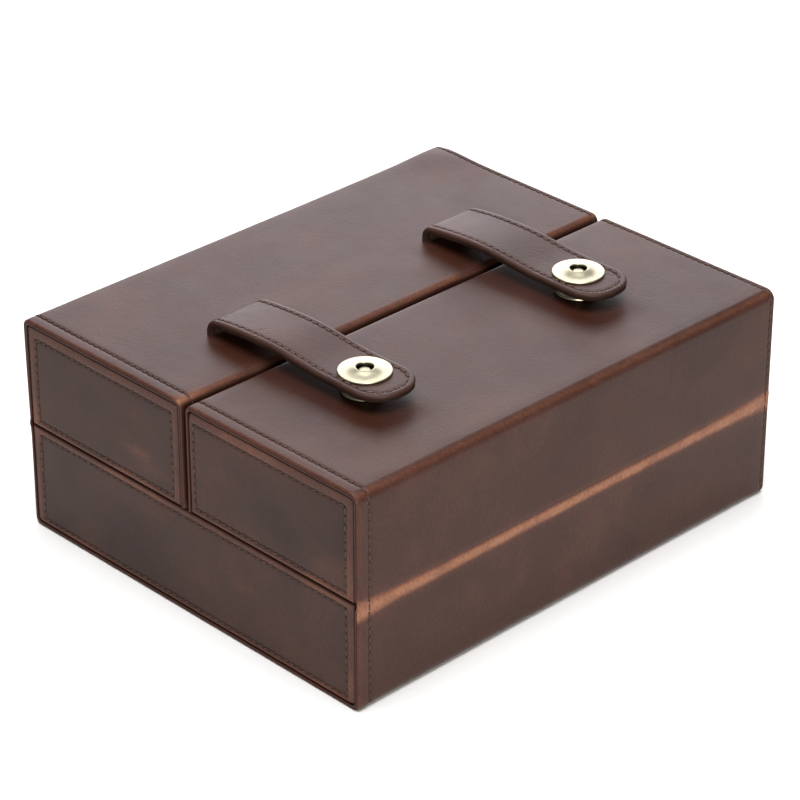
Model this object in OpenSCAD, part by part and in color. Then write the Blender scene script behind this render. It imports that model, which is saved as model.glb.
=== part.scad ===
// Leather jewellery case with two upper trays that fold outwards.
// A full-width base tray carries a left and a right upper tray. Each upper tray
// turns on a leather fold along its outer long side, at half height, and opens
// through half a turn so that all three trays lie side by side.
// Two straps rooted in the left upper tray snap onto studs on the right one.
// Units are millimetres. X runs across the case, Y along the folds, Z up.
// The origin is the middle of the underside.

/* [Case] */
// Width across both upper trays
case_w = 176; // [150:1:220]
// Length along the folds
case_l = 213; // [190:1:260]
// Height of the closed case
case_h = 86.4; // [76:0.2:110]
// Gap between the two upper trays
tray_gap = 1.7; // [1:0.1:3]
// Radius of the rounded leather edges
edge_r = 4; // [2.5:0.1:4.5]

/* [Layers] */
// Thickness of the wrap leather
wrap_t = 1.8; // [1.5:0.1:2.2]
// Thickness of the stiff boards
board_t = 3; // [2.4:0.1:4]
// Thickness of the leather end panels
panel_t = 1.5; // [1:0.1:2]
// How far an end panel sits inside the end of the wrap leather
panel_inset = 0.3; // [0.1:0.1:0.6]
// Thickness of the suede lining
lining_t = 1; // [0.6:0.1:1.5]
// Thickness of the trim on the tray rims
rim_t = 1.2; // [0.8:0.1:2]
// Half the height of the leather that bends at each fold
fold_half = 3; // [2:0.5:5]

/* [Straps] */
// Width of a strap
strap_w = 25.5; // [20:0.5:32]
// Thickness of the outer strap leather
strap_outer_t = 1.5; // [1:0.1:1.8]
// Thickness of the strap backing
strap_backing_t = 1.3; // [1:0.1:1.6]
// Distance of each strap from the middle of the case
strap_y = 54.2; // [40:0.1:64]
// Where the outer face of the strap root leaves the left tray
strap_root_x = -32.5; // [-40:0.5:-30]
// Where the strap tip ends over the right tray
strap_tip_x = 56; // [50:0.5:62]
// Radius of the corners of the strap tip
strap_tip_r = 11.5; // [6:0.5:12.5]
// Height of the strap's outer face over the tray gap
strap_crown = 8.9; // [8.7:0.1:10]
// Height of the strap's outer face at the snap
strap_snap_z = 7.3; // [7.1:0.1:8]

/* [Snaps] */
// Centre of the snaps, measured from the tray gap
snap_x = 37; // [33:0.5:42]
// Diameter of the snap cap
cap_d = 19.7; // [16:0.1:21]
// Diameter of the socket under the strap
socket_d = 12.6; // [11:0.1:14]
// Diameter of the snap post
post_d = 4; // [3.5:0.1:4.5]

/* [Interior] */
// Number of ring rolls in each bed
roll_count = 16; // [8:1:18]
// Height of the foam bed under the ring rolls
bed_t = 11; // [6:1:14]
// Width of the ring roll bed in the base
base_roll_w = 54; // [40:1:70]
// Thickness of a lined divider
divider_t = 3.4; // [2.5:0.1:5]
// Height of the dividers above the lining
divider_h = 27; // [15:1:32]
// Number of necklace hooks
hook_count = 6; // [3:1:8]

/* [Hidden] */

// Clearance between parts that move past each other
run_gap = 0.3;
// Clearance between a part and the slot or hole it sits in
fit_gap = 0.05;
// Reach of a cut past the face it goes through
past = 1;
// Straight steps in a rounded corner
corner_steps = 8;

// Colours
brown_leather = "#4f362c";
strap_brown = "#5a4038";
fold_tan = "#a86f52";
board_grey = "#8b7d6b";
suede_sand = "#b59b7c";
foam_cream = "#d9cdb4";
brass_pale = "#d8d3b4";

// Heights of the two tray levels
fold_z = case_h / 2;
base_top = fold_z - run_gap / 2;
tray_bottom = fold_z + run_gap / 2;
board_base_top = base_top - rim_t;
board_tray_bottom = tray_bottom + rim_t;

// Half sizes across X and Y, from the leather inwards
side_x = case_w / 2;
end_y = case_l / 2;
board_x = side_x - wrap_t;
board_in_x = board_x - board_t;
clear_x = board_in_x - lining_t;
panel_y = end_y - panel_inset;
board_y = panel_y - panel_t;
board_in_y = board_y - board_t;
clear_y = board_in_y - lining_t;

// Inner side of an upper tray, counted from the middle of the case
inner_x = tray_gap / 2;
inner_board_x = inner_x + wrap_t;
inner_board_in_x = inner_board_x + board_t;
inner_clear_x = inner_board_in_x + lining_t;

// Base levels, counted up, and upper tray levels, counted down
floor_lo = wrap_t;
floor_hi = floor_lo + board_t;
base_clear_z = floor_hi + lining_t;
top_hi = case_h - wrap_t;
top_lo = top_hi - board_t;
tray_clear_z = top_lo - lining_t;

// Strap
strap_t = strap_outer_t + strap_backing_t;
bend_r = 5.3;
bend_end = 98;
bend_cx = strap_root_x + bend_r;
flat_x = 27;
crown_drop = 1.9;
bend_meet_x = bend_cx + bend_r * cos(bend_end);
bend_cz = strap_rise(bend_meet_x) - bend_r * sin(bend_end);
pivot_angle = 135;
pivot_r = bend_r - strap_t / 2;
pivot_x = bend_cx + pivot_r * cos(pivot_angle);
pivot_z = bend_cz + pivot_r * sin(pivot_angle);
knuckle_cut_r = 2.6;
strap_steps = 20;
bend_steps = 8;

// Snap levels above the top of the case
strap_under_z = strap_snap_z - strap_t;
cap_flange_t = 1;
cap_rise = 2.1;
cap_hole_r = 3;
cap_hole_z = 0.5;
cap_boss_r = 2.3;
cap_boss_z = 1.3;
socket_h = 2.9;
socket_wall_r = 3;
stud_flange_r = 8.6;
stud_flange_t = 0.9;
stud_neck_r = 1.8;
stud_head_r = 2.3;
stud_head_z = strap_under_z - 0.8;
stud_shank_r = 1.6;
washer_r = 5;
washer_t = 0.8;

// Interior
roll_pitch = 2 * clear_y / roll_count;
roll_r = roll_pitch / 2 - 0.2;
bed_side_gap = 0.2;
divider_x = -clear_x + base_roll_w + bed_side_gap;
cross_y = clear_y / 3;
necklace_bar_inset = 16;
necklace_bar_y = clear_y - necklace_bar_inset;
necklace_bar_w = 12;
necklace_bar_h = 8;
pocket_l = 78;
pocket_t = 9;
pocket_gap = 0.3;
hook_stem_r = 1.5;
hook_head_r = 3.2;
hook_head_t = 1.4;
hook_reach = 9;

// Height of the strap's outer face over the top of the case, past the root bend
function strap_rise(x) =
  x < 0 ? strap_crown - crown_drop * (x / flat_x) * (x / flat_x)
  : x < flat_x ? strap_snap_z + (strap_crown - strap_snap_z) * (1 + cos(180 * x / flat_x)) / 2
  : strap_snap_z;

// Slope angle of the strap at x
function strap_slope(x) = atan((strap_rise(x + 0.5) - strap_rise(x - 0.5)));

// Point on the strap at x, a depth below its outer face
function strap_point(x, depth) =
  [x + depth * sin(strap_slope(x)), strap_rise(x) - depth * cos(strap_slope(x))];

// Point on the root bend at an angle, a depth below the outer face
function bend_point(angle, depth) =
  [bend_cx + (bend_r - depth) * cos(angle), bend_cz + (bend_r - depth) * sin(angle)];

// Point k of n between two values
function between(a, b, k, n) = a + (b - a) * k / n;

// Point at an angle on a rounded corner
function corner_point(x, z, r, angle) = [x + r * cos(angle), z + r * sin(angle)];

// A box between two corners
module block(lo, hi) {
  translate(lo) cube([hi[0] - lo[0], hi[1] - lo[1], hi[2] - lo[2]]);
}

// Turns a drawing in X and Z into a solid along Y
module along_y(y_lo, y_hi) {
  translate([0, y_hi, 0]) rotate([90, 0, 0]) linear_extrude(height = y_hi - y_lo) children();
}

// A right tray's parts mirrored to the left
module mirrored_left() {
  mirror([1, 0, 0]) children();
}

// Rectangle with only its two upper corners rounded, each by its own radius
module top_rounded(x_lo, x_hi, z_lo, z_hi, r_lo, r_hi) {
  polygon(concat(
    [[x_lo, z_lo], [x_hi, z_lo]],
    [for (k = [0 : corner_steps]) corner_point(x_hi - r_hi, z_hi - r_hi, r_hi, between(0, 90, k, corner_steps))],
    [for (k = [0 : corner_steps]) corner_point(x_lo + r_lo, z_hi - r_lo, r_lo, between(90, 180, k, corner_steps))]
  ));
}

// ---- Base tray ----

module base_floor_board() {
  color(board_grey) block([-board_x, -board_y, floor_lo], [board_x, board_y, floor_hi]);
}

module base_side_board(side) {
  near = side > 0 ? board_in_x : -board_x;
  color(board_grey)
    block([near, -board_y, floor_hi], [near + board_t, board_y, board_base_top]);
}

module base_left_wall_board() {
  base_side_board(-1);
}

module base_right_wall_board() {
  base_side_board(1);
}

module base_end_board(side) {
  near = side > 0 ? board_in_y : -board_y;
  color(board_grey)
    block([-board_in_x, near, floor_hi], [board_in_x, near + board_t, board_base_top]);
}

module base_front_end_board() {
  base_end_board(-1);
}

module base_back_end_board() {
  base_end_board(1);
}

// Wrap leather under the base and up both sides, to where the folds start
module base_wrap_leather() {
  color(brown_leather) along_y(-end_y, end_y) difference() {
    rotate(180) translate([0, -fold_z]) top_rounded(
      -side_x, side_x, fold_half, fold_z, edge_r, edge_r
    );
    translate([-board_x, floor_lo]) square([2 * board_x, fold_z]);
  }
}

module base_end_panel(side) {
  near = side > 0 ? board_y : -panel_y;
  color(brown_leather)
    block([-board_x, near, floor_lo], [board_x, near + panel_t, base_top]);
}

module base_front_end_panel() {
  base_end_panel(-1);
}

module base_back_end_panel() {
  base_end_panel(1);
}

// Suede tray glued inside the boards
module base_lining() {
  color(suede_sand) difference() {
    block([-board_in_x, -board_in_y, floor_hi], [board_in_x, board_in_y, board_base_top]);
    block([-clear_x, -clear_y, base_clear_z], [clear_x, clear_y, board_base_top + past]);
  }
}

// Leather trim over the top edges of the boards and the lining
module base_rim_trim() {
  color(brown_leather) difference() {
    block([-board_x, -board_y, board_base_top], [board_x, board_y, base_top]);
    block([-clear_x, -clear_y, board_base_top - past], [clear_x, clear_y, base_top + past]);
  }
}

module base_long_divider() {
  color(suede_sand)
    block([divider_x, -clear_y, base_clear_z], [divider_x + divider_t, clear_y, base_clear_z + divider_h]);
}

module base_cross_dividers() {
  color(suede_sand) for (side = [-1, 1])
    block(
      [divider_x + divider_t, side * cross_y - divider_t / 2, base_clear_z],
      [clear_x, side * cross_y + divider_t / 2, base_clear_z + divider_h]
    );
}

module base_ring_bed() {
  color(foam_cream)
    block([-clear_x, -clear_y, base_clear_z], [-clear_x + base_roll_w, clear_y, base_clear_z + bed_t]);
}

// A row of padded rolls lying side by side, their axes along X
module roll_row(x_lo, x_hi, z) {
  color(suede_sand) for (k = [0 : roll_count - 1])
    translate([x_lo, -clear_y + roll_pitch * (k + 0.5), z])
      rotate([0, 90, 0]) cylinder(r = roll_r, h = x_hi - x_lo, $fn = 48);
}

module base_ring_rolls() {
  roll_row(-clear_x + bed_side_gap, -clear_x + base_roll_w - bed_side_gap, base_clear_z + bed_t + roll_r);
}

// ---- Leather folds ----

module hinge_leather(side) {
  near = side > 0 ? board_x : -side_x;
  color(fold_tan)
    block([near, -end_y, fold_z - fold_half], [near + wrap_t, end_y, fold_z + fold_half]);
}

module left_hinge_leather() {
  hinge_leather(-1);
}

module right_hinge_leather() {
  hinge_leather(1);
}

// ---- Upper trays, drawn on the right ----

module tray_top_board() {
  color(board_grey) block([inner_board_x, -board_y, top_lo], [board_x, board_y, top_hi]);
}

module tray_outer_board() {
  color(board_grey) block([board_in_x, -board_y, board_tray_bottom], [board_x, board_y, top_lo]);
}

module tray_inner_board() {
  color(board_grey)
    block([inner_board_x, -board_y, board_tray_bottom], [inner_board_in_x, board_y, top_lo]);
}

module tray_end_board(side) {
  near = side > 0 ? board_in_y : -board_y;
  color(board_grey)
    block([inner_board_in_x, near, board_tray_bottom], [board_in_x, near + board_t, top_lo]);
}

// Wrap leather up the outer side, over the top and down the inner side
module tray_wrap_leather() {
  color(brown_leather) along_y(-end_y, end_y) difference() {
    top_rounded(inner_x, side_x, tray_bottom, case_h, edge_r, edge_r);
    translate([inner_board_x, 0]) square([board_x - inner_board_x, top_hi]);
    translate([board_x, 0]) square([side_x, fold_z + fold_half]);
  }
}

module tray_end_panel(side) {
  near = side > 0 ? board_y : -panel_y;
  color(brown_leather)
    block([inner_board_x, near, tray_bottom], [board_x, near + panel_t, top_hi]);
}

module tray_lining() {
  color(suede_sand) difference() {
    block([inner_board_in_x, -board_in_y, board_tray_bottom], [board_in_x, board_in_y, top_lo]);
    block([inner_clear_x, -clear_y, board_tray_bottom - past], [clear_x, clear_y, tray_clear_z]);
  }
}

module tray_rim_trim() {
  color(brown_leather) difference() {
    block([inner_board_x, -board_y, tray_bottom], [board_x, board_y, board_tray_bottom]);
    block([inner_clear_x, -clear_y, tray_bottom - past], [clear_x, clear_y, board_tray_bottom + past]);
  }
}

// ---- Left tray ----

// The slots that the strap roots pass through
module strap_slots() {
  for (side = [-1, 1])
    block(
      [strap_root_x - fit_gap, side * strap_y - strap_w / 2 - fit_gap, top_lo - past],
      [strap_root_x + strap_t + fit_gap, side * strap_y + strap_w / 2 + fit_gap, case_h + past]
    );
}

module left_top_board() {
  difference() {
    mirrored_left() tray_top_board();
    strap_slots();
  }
}

module left_outer_wall_board() {
  mirrored_left() tray_outer_board();
}

module left_inner_wall_board() {
  mirrored_left() tray_inner_board();
}

module left_front_end_board() {
  mirrored_left() tray_end_board(-1);
}

module left_back_end_board() {
  mirrored_left() tray_end_board(1);
}

module left_wrap_leather() {
  difference() {
    mirrored_left() tray_wrap_leather();
    strap_slots();
  }
}

module left_front_end_panel() {
  mirrored_left() tray_end_panel(-1);
}

module left_back_end_panel() {
  mirrored_left() tray_end_panel(1);
}

module left_lining() {
  mirrored_left() tray_lining();
}

module left_rim_trim() {
  mirrored_left() tray_rim_trim();
}

module left_ring_bed() {
  color(foam_cream)
    block([-clear_x, -clear_y, tray_clear_z - bed_t], [-inner_clear_x, clear_y, tray_clear_z]);
}

module left_ring_rolls() {
  roll_row(-clear_x + bed_side_gap, -inner_clear_x - bed_side_gap, tray_clear_z - bed_t - roll_r);
}

// ---- Straps ----

// Side outline of the root, from the slot up to the bend, between two depths
module root_outline(depth_a, depth_b) {
  polygon(concat(
    [[strap_root_x + depth_a, top_lo - case_h]],
    [for (k = [0 : bend_steps]) bend_point(between(180, pivot_angle, k, bend_steps), depth_a)],
    [for (k = [bend_steps : -1 : 0]) bend_point(between(180, pivot_angle, k, bend_steps), depth_b)],
    [[strap_root_x + depth_b, top_lo - case_h]]
  ));
}

// Side outline of the moving strap, from the bend to past the tip, between two depths
module strap_outline(depth_a, depth_b) {
  end_x = strap_tip_x + past;
  polygon(concat(
    [for (k = [0 : bend_steps]) bend_point(between(pivot_angle, bend_end, k, bend_steps), depth_a)],
    [for (k = [1 : strap_steps]) strap_point(between(bend_meet_x, flat_x, k, strap_steps), depth_a)],
    [strap_point(end_x, depth_a), strap_point(end_x, depth_b)],
    [for (k = [strap_steps : -1 : 1]) strap_point(between(bend_meet_x, flat_x, k, strap_steps), depth_b)],
    [for (k = [bend_steps : -1 : 0]) bend_point(between(pivot_angle, bend_end, k, bend_steps), depth_b)]
  ));
}

// Plan of a strap, with a rounded tip
module strap_plan(y_mid) {
  translate([strap_root_x, y_mid - strap_w / 2])
    square([strap_tip_x - strap_tip_r - strap_root_x, strap_w]);
  translate([strap_root_x, y_mid - strap_w / 2 + strap_tip_r])
    square([strap_tip_x - strap_root_x, strap_w - 2 * strap_tip_r]);
  for (side = [-1, 1])
    translate([strap_tip_x - strap_tip_r, y_mid + side * (strap_w / 2 - strap_tip_r)])
      circle(r = strap_tip_r, $fn = 48);
}

module strap_layer(y_mid, depth_a, depth_b) {
  translate([0, 0, case_h]) difference() {
    intersection() {
      along_y(y_mid - strap_w, y_mid + strap_w) strap_outline(depth_a, depth_b);
      linear_extrude(height = strap_crown + past) strap_plan(y_mid);
    }
    translate([snap_x, y_mid, 0]) cylinder(d = post_d + 2 * fit_gap, h = strap_crown + past, $fn = 48);
  }
}

// Root of a strap, both layers glued, fixed in its slot and cut clear of the moving end
module strap_root(y_mid) {
  color(strap_brown) translate([0, 0, case_h]) difference() {
    along_y(y_mid - strap_w / 2, y_mid + strap_w / 2) root_outline(0, strap_t);
    translate([pivot_x, y_mid + strap_w, pivot_z]) rotate([90, 0, 0])
      cylinder(r = knuckle_cut_r, h = 2 * strap_w, $fn = 48);
  }
}

module strap_leather(y_mid) {
  color(strap_brown) strap_layer(y_mid, 0, strap_outer_t);
}

module strap_backing(y_mid) {
  color(brown_leather) strap_layer(y_mid, strap_outer_t, strap_t);
}

// Flanged cap: it rises to a hole with a boss standing in it, and the post is under it
module snap_cap(y_mid) {
  cap_r = cap_d / 2;
  color(brass_pale) translate([snap_x, y_mid, case_h + strap_snap_z])
    rotate_extrude($fn = 64) polygon([
      [0, -strap_t], [post_d / 2, -strap_t], [post_d / 2, 0], [cap_r - 0.3, 0],
      [cap_r, 0.3], [cap_r - 0.2, cap_flange_t - 0.25], [cap_r - 1.4, cap_flange_t],
      [cap_r - 3.6, cap_flange_t + 0.25], [cap_hole_r + 1.6, cap_rise - 0.35],
      [cap_hole_r + 0.6, cap_rise], [cap_hole_r + 0.1, cap_rise - 0.1], [cap_hole_r, cap_hole_z],
      [cap_boss_r + 0.1, cap_hole_z], [cap_boss_r, cap_boss_z - 0.2], [0, cap_boss_z]
    ]);
}

// Socket ring under the strap, with a rolled lower rim
module snap_socket(y_mid) {
  socket_r = socket_d / 2;
  color(brass_pale) translate([snap_x, y_mid, case_h + strap_under_z])
    rotate_extrude($fn = 64) polygon([
      [socket_wall_r, 0], [socket_wall_r, -socket_h + 0.3], [socket_wall_r + 0.4, -socket_h],
      [socket_r - 1.8, -socket_h], [socket_r - 1.2, -socket_h + 0.6], [socket_r - 1, -0.8],
      [socket_r, -0.6], [socket_r, 0]
    ]);
}

module front_strap_root() {
  strap_root(-strap_y);
}

module back_strap_root() {
  strap_root(strap_y);
}

module front_strap_leather() {
  strap_leather(-strap_y);
}

module back_strap_leather() {
  strap_leather(strap_y);
}

module front_strap_backing() {
  strap_backing(-strap_y);
}

module back_strap_backing() {
  strap_backing(strap_y);
}

module front_snap_cap() {
  snap_cap(-strap_y);
}

module back_snap_cap() {
  snap_cap(strap_y);
}

module front_snap_socket() {
  snap_socket(-strap_y);
}

module back_snap_socket() {
  snap_socket(strap_y);
}

// ---- Right tray ----

// Repeats a part at both snap centres
module at_snaps(z) {
  for (side = [-1, 1]) translate([snap_x, side * strap_y, z]) children();
}

module right_top_board() {
  difference() {
    tray_top_board();
    at_snaps(top_lo - past) cylinder(r = stud_shank_r + fit_gap, h = board_t + 2 * past, $fn = 48);
    at_snaps(top_lo - past) cylinder(r = washer_r + fit_gap, h = washer_t + past, $fn = 48);
  }
}

module right_outer_wall_board() {
  tray_outer_board();
}

module right_inner_wall_board() {
  tray_inner_board();
}

module right_front_end_board() {
  tray_end_board(-1);
}

module right_back_end_board() {
  tray_end_board(1);
}

module right_wrap_leather() {
  difference() {
    tray_wrap_leather();
    at_snaps(top_hi - past) cylinder(r = stud_shank_r + fit_gap, h = wrap_t + 2 * past, $fn = 48);
  }
}

module right_front_end_panel() {
  tray_end_panel(-1);
}

module right_back_end_panel() {
  tray_end_panel(1);
}

module right_lining() {
  tray_lining();
}

module right_rim_trim() {
  tray_rim_trim();
}

// Studs on the right tray: flange, neck, bulged head, and a shank down to the washer
module snap_studs() {
  color(brass_pale) at_snaps(case_h) rotate_extrude($fn = 64) polygon([
    [0, top_lo - case_h + washer_t], [stud_shank_r, top_lo - case_h + washer_t], [stud_shank_r, 0],
    [stud_flange_r, 0], [stud_flange_r, stud_flange_t - 0.2], [stud_flange_r - 0.6, stud_flange_t],
    [stud_neck_r, stud_flange_t], [stud_neck_r, stud_head_z - 1.6], [stud_head_r, stud_head_z - 1.1],
    [stud_head_r, stud_head_z - 0.5], [stud_neck_r, stud_head_z], [0, stud_head_z]
  ]);
}

// Washers let into the underside of the top board, under the lining
module stud_washers() {
  color(brass_pale) at_snaps(top_lo) cylinder(r = washer_r, h = washer_t, $fn = 48);
}

module necklace_bar() {
  color(suede_sand) block(
    [inner_clear_x, necklace_bar_y - necklace_bar_w / 2, tray_clear_z - necklace_bar_h],
    [clear_x, necklace_bar_y + necklace_bar_w / 2, tray_clear_z]
  );
}

// Brass hooks standing out of the bar into the tray, each a stem with a wide head
module necklace_hooks() {
  spacing = (clear_x - inner_clear_x) / hook_count;
  color(brass_pale) for (k = [0 : hook_count - 1])
    translate([inner_clear_x + spacing * (k + 0.5), necklace_bar_y, tray_clear_z - necklace_bar_h])
      mirror([0, 0, 1]) rotate_extrude($fn = 32) polygon([
        [0, 0], [hook_stem_r, 0], [hook_stem_r, hook_reach - hook_head_t - 0.6],
        [hook_head_r, hook_reach - hook_head_t], [hook_head_r, hook_reach - 0.5],
        [hook_head_r - 0.7, hook_reach], [0, hook_reach]
      ]);
}

// Gathered pocket on the floor of the right tray, as the space it fills
module chain_pocket() {
  color(suede_sand) block(
    [inner_clear_x + pocket_gap, -clear_y + pocket_gap, tray_clear_z - pocket_t],
    [clear_x - pocket_gap, -clear_y + pocket_l, tray_clear_z]
  );
}

base_floor_board();
base_left_wall_board();
base_right_wall_board();
base_front_end_board();
base_back_end_board();
base_wrap_leather();
base_front_end_panel();
base_back_end_panel();
base_lining();
base_rim_trim();
base_long_divider();
base_cross_dividers();
base_ring_bed();
base_ring_rolls();
left_hinge_leather();
right_hinge_leather();
left_top_board();
left_outer_wall_board();
left_inner_wall_board();
left_front_end_board();
left_back_end_board();
left_wrap_leather();
left_front_end_panel();
left_back_end_panel();
left_lining();
left_rim_trim();
left_ring_bed();
left_ring_rolls();
front_strap_root();
back_strap_root();
front_strap_leather();
front_strap_backing();
front_snap_cap();
front_snap_socket();
back_strap_leather();
back_strap_backing();
back_snap_cap();
back_snap_socket();
right_top_board();
right_outer_wall_board();
right_inner_wall_board();
right_front_end_board();
right_back_end_board();
right_wrap_leather();
right_front_end_panel();
right_back_end_panel();
right_lining();
right_rim_trim();
snap_studs();
stud_washers();
necklace_bar();
necklace_hooks();
chain_pocket();
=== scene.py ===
import bmesh
import bpy
from math import cos, exp, hypot, pi, radians, sin, sqrt
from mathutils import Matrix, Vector, noise


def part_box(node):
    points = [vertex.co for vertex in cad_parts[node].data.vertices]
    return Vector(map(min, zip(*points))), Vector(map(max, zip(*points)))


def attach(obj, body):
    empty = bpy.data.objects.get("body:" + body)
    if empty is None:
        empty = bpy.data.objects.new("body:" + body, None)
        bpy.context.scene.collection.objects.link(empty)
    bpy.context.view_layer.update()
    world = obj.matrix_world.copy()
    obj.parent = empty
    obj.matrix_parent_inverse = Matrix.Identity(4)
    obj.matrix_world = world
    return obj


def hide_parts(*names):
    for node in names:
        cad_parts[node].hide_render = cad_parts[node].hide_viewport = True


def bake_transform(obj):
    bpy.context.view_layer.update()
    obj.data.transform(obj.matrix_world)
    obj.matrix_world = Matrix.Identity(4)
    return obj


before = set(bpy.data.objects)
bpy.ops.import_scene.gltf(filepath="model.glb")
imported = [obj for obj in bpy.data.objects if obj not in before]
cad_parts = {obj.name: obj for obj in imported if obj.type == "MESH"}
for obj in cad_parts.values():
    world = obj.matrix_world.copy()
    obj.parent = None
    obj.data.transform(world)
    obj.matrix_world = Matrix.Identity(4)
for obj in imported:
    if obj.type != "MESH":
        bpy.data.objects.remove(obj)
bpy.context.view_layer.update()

MM = 0.001
ENDS = ((-1, "front"), (1, "back"))


# ---------------- sizes, in mm. The first ones are read from the frame

def box_mm(node):
    """A node's lowest and highest corners at rest."""
    low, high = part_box(node)
    return [c / MM for c in low], [c / MM for c in high]


WRAP_HI = box_mm("base_wrap_leather")[1]
TRAY_LO, TRAY_HI = box_mm("right_wrap_leather")
FOLD_LO, FOLD_HI = box_mm("right_hinge_leather")
STRAP_LO, STRAP_HI = box_mm("front_strap_leather")
ROOT_LO, ROOT_HI = box_mm("front_strap_root")
CAP_LO, CAP_HI = box_mm("front_snap_cap")
STUD_LO, STUD_HI = box_mm("snap_studs")

SIDE_X, END_Y = WRAP_HI[:2]
INNER_X, TRAY_BOTTOM = TRAY_LO[0], TRAY_LO[2]
TOP_Z = TRAY_HI[2]
FOLD_Z = (FOLD_LO[2] + FOLD_HI[2]) / 2
WRAP_T = FOLD_HI[0] - FOLD_LO[0]

STRAP_W = STRAP_HI[1] - STRAP_LO[1]
STRAP_Y = abs(STRAP_LO[1] + STRAP_HI[1]) / 2
STRAP_T = ROOT_HI[0] - ROOT_LO[0]
TIP_X = STRAP_HI[0]
ROOT_X = ROOT_LO[0]
SNAP_X = (CAP_LO[0] + CAP_HI[0]) / 2
CROWN = STRAP_HI[2] - TOP_Z

# outer radius of the bottom edges, of each tray's outer top edge and of the bend into the tray gap
EDGE_R = 4.0
TOP_R = {-1: 3.0, 1: EDGE_R}
GAP_R = 3.2

# rolled ends of the wrap, and the stitch line's distance from the front and the back end
ROLL_R = 1.15
BAND_INNER_R = 0.55
STITCH_IN = {-1: 5.5, 1: 2.4}

# stitches, and the groove that they press into the leather
STITCH_PITCH = 3.3
THREAD_R = 0.30
GROOVE_W = 0.5
GROOVE_D = 0.26

# the strap's outer layer, its tip and curve as in the CAD, and its stitch line's distance from the edge
OUTER_T = 1.5
TIP_R = 11.5
SNAP_Z = 7.3
CROWN_DROP = 1.9
FLAT_X = 27.0
BEND_R = 5.3
BEND_END = radians(98)
STRAP_STITCH_IN = 2.7


# ---------------- numbers

def wave(x, y, z, size, seed):
    """Smooth noise from -1 to 1, with lumps about size mm across."""
    return noise.noise(Vector((x / size + seed, y / size - seed, z / size + 2 * seed)))


def cloud(x, y, z, size, seed):
    """The same noise from 0 to 1."""
    return 0.5 + 0.5 * wave(x, y, z, size, seed)


def smooth(t):
    """Eases from 0 to 1 as t does."""
    t = min(1.0, max(0.0, t))
    return t * t * (3 - 2 * t)


def bump(value, centre, width):
    """A bell of height 1 round centre."""
    return exp(-(((value - centre) / width) ** 2))


def round_drop(s, r):
    """How far a surface has dropped at a distance s inside an edge rounded by r, and beyond the edge."""
    return r - sqrt(max(0.0, r * r - (r - s) ** 2)) if s < r else 0.0


def steps(a, b, size):
    """Evenly spaced values from a to b, about size apart, without b."""
    n = max(1, round(abs(b - a) / size))
    return [a + (b - a) * k / n for k in range(n)]


def around(n):
    """Angles of n points round a circle."""
    return [2 * pi * k / n for k in range(n)]


def fan(a0, a1, n):
    """Angles from a0 to a1 degrees in n steps."""
    return [radians(a0 + (a1 - a0) * k / n) for k in range(n + 1)]


# ---------------- mesh helpers

def into_scene(obj):
    bpy.context.scene.collection.objects.link(obj)


def make_mesh(name, points, faces, wear_and_shade, sharp):
    """A mesh object from points in mm, with its faces turned outwards. Angles above sharp are sharp edges."""
    mesh = bpy.data.meshes.new(name)
    mesh.from_pydata([(x * MM, y * MM, z * MM) for x, y, z in points], [], faces)
    mesh.update()
    for polygon in mesh.polygons:
        polygon.use_smooth = True
    mesh.set_sharp_from_angle(angle=radians(sharp))
    keep_rest(mesh, wear_and_shade)
    obj = bpy.data.objects.new(name, mesh)
    into_scene(obj)
    turn_outwards(mesh)
    return obj


def turn_outwards(mesh):
    work = bmesh.new()
    work.from_mesh(mesh)
    bmesh.ops.recalc_face_normals(work, faces=work.faces)
    work.to_mesh(mesh)
    work.free()


def keep_rest(mesh, wear_and_shade=None):
    """Stores each point's place at rest, so that a pattern bends with it, and its wear and painted shade from
    -1 to 1.
    """
    rest = mesh.attributes.new("rest", "FLOAT_VECTOR", "POINT")
    rest.data.foreach_set("vector", [c for v in mesh.vertices for c in v.co])
    # below zero this also holds painted shade: in the tray gap, by the straps, in the cap's hole, on the
    # stud's flange and at needle holes
    worn = mesh.attributes.new("wear_and_shade", "FLOAT", "POINT")
    worn.data.foreach_set("value", list(wear_and_shade) if wear_and_shade else [0.0] * len(mesh.vertices))


def dress(obj, body, material, replaces=()):
    """Gives a piece its material in one slot, hides the CAD nodes that it replaces, and parents it to its
    body if it has one.
    """
    obj.data.materials.clear()
    obj.data.materials.append(material)
    if replaces:
        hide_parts(*replaces)
    if body:
        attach(obj, body)


def make_active(obj):
    """Selects one object alone."""
    bpy.ops.object.select_all(action="DESELECT")
    obj.select_set(True)
    bpy.context.view_layer.objects.active = obj


def join(objects, name):
    """Joins meshes into the first one."""
    make_active(objects[0])
    for obj in objects:
        obj.select_set(True)
    bpy.ops.object.join()
    objects[0].name = name
    objects[0].data.name = name
    return objects[0]


def ring_faces(count, n, first=0):
    """Quads between count successive closed rings of n points."""
    faces = []
    for start in range(first, first + (count - 1) * n, n):
        for i in range(n):
            j = (i + 1) % n
            faces.append((start + i, start + j, start + n + j, start + n + i))
    return faces


def loft(name, rings, closed=False, wear_and_shade=None, sharp=40):
    """A surface through closed rings of equal length, capped at both ends or joined into a loop."""
    n = len(rings[0])
    last = (len(rings) - 1) * n
    faces = ring_faces(len(rings), n)
    if closed:
        faces += [(last + i, last + (i + 1) % n, (i + 1) % n, i) for i in range(n)]
    else:
        faces += [tuple(reversed(range(n))), tuple(last + i for i in range(n))]
    return make_mesh(name, [p for ring in rings for p in ring], faces, wear_and_shade, sharp)


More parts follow.
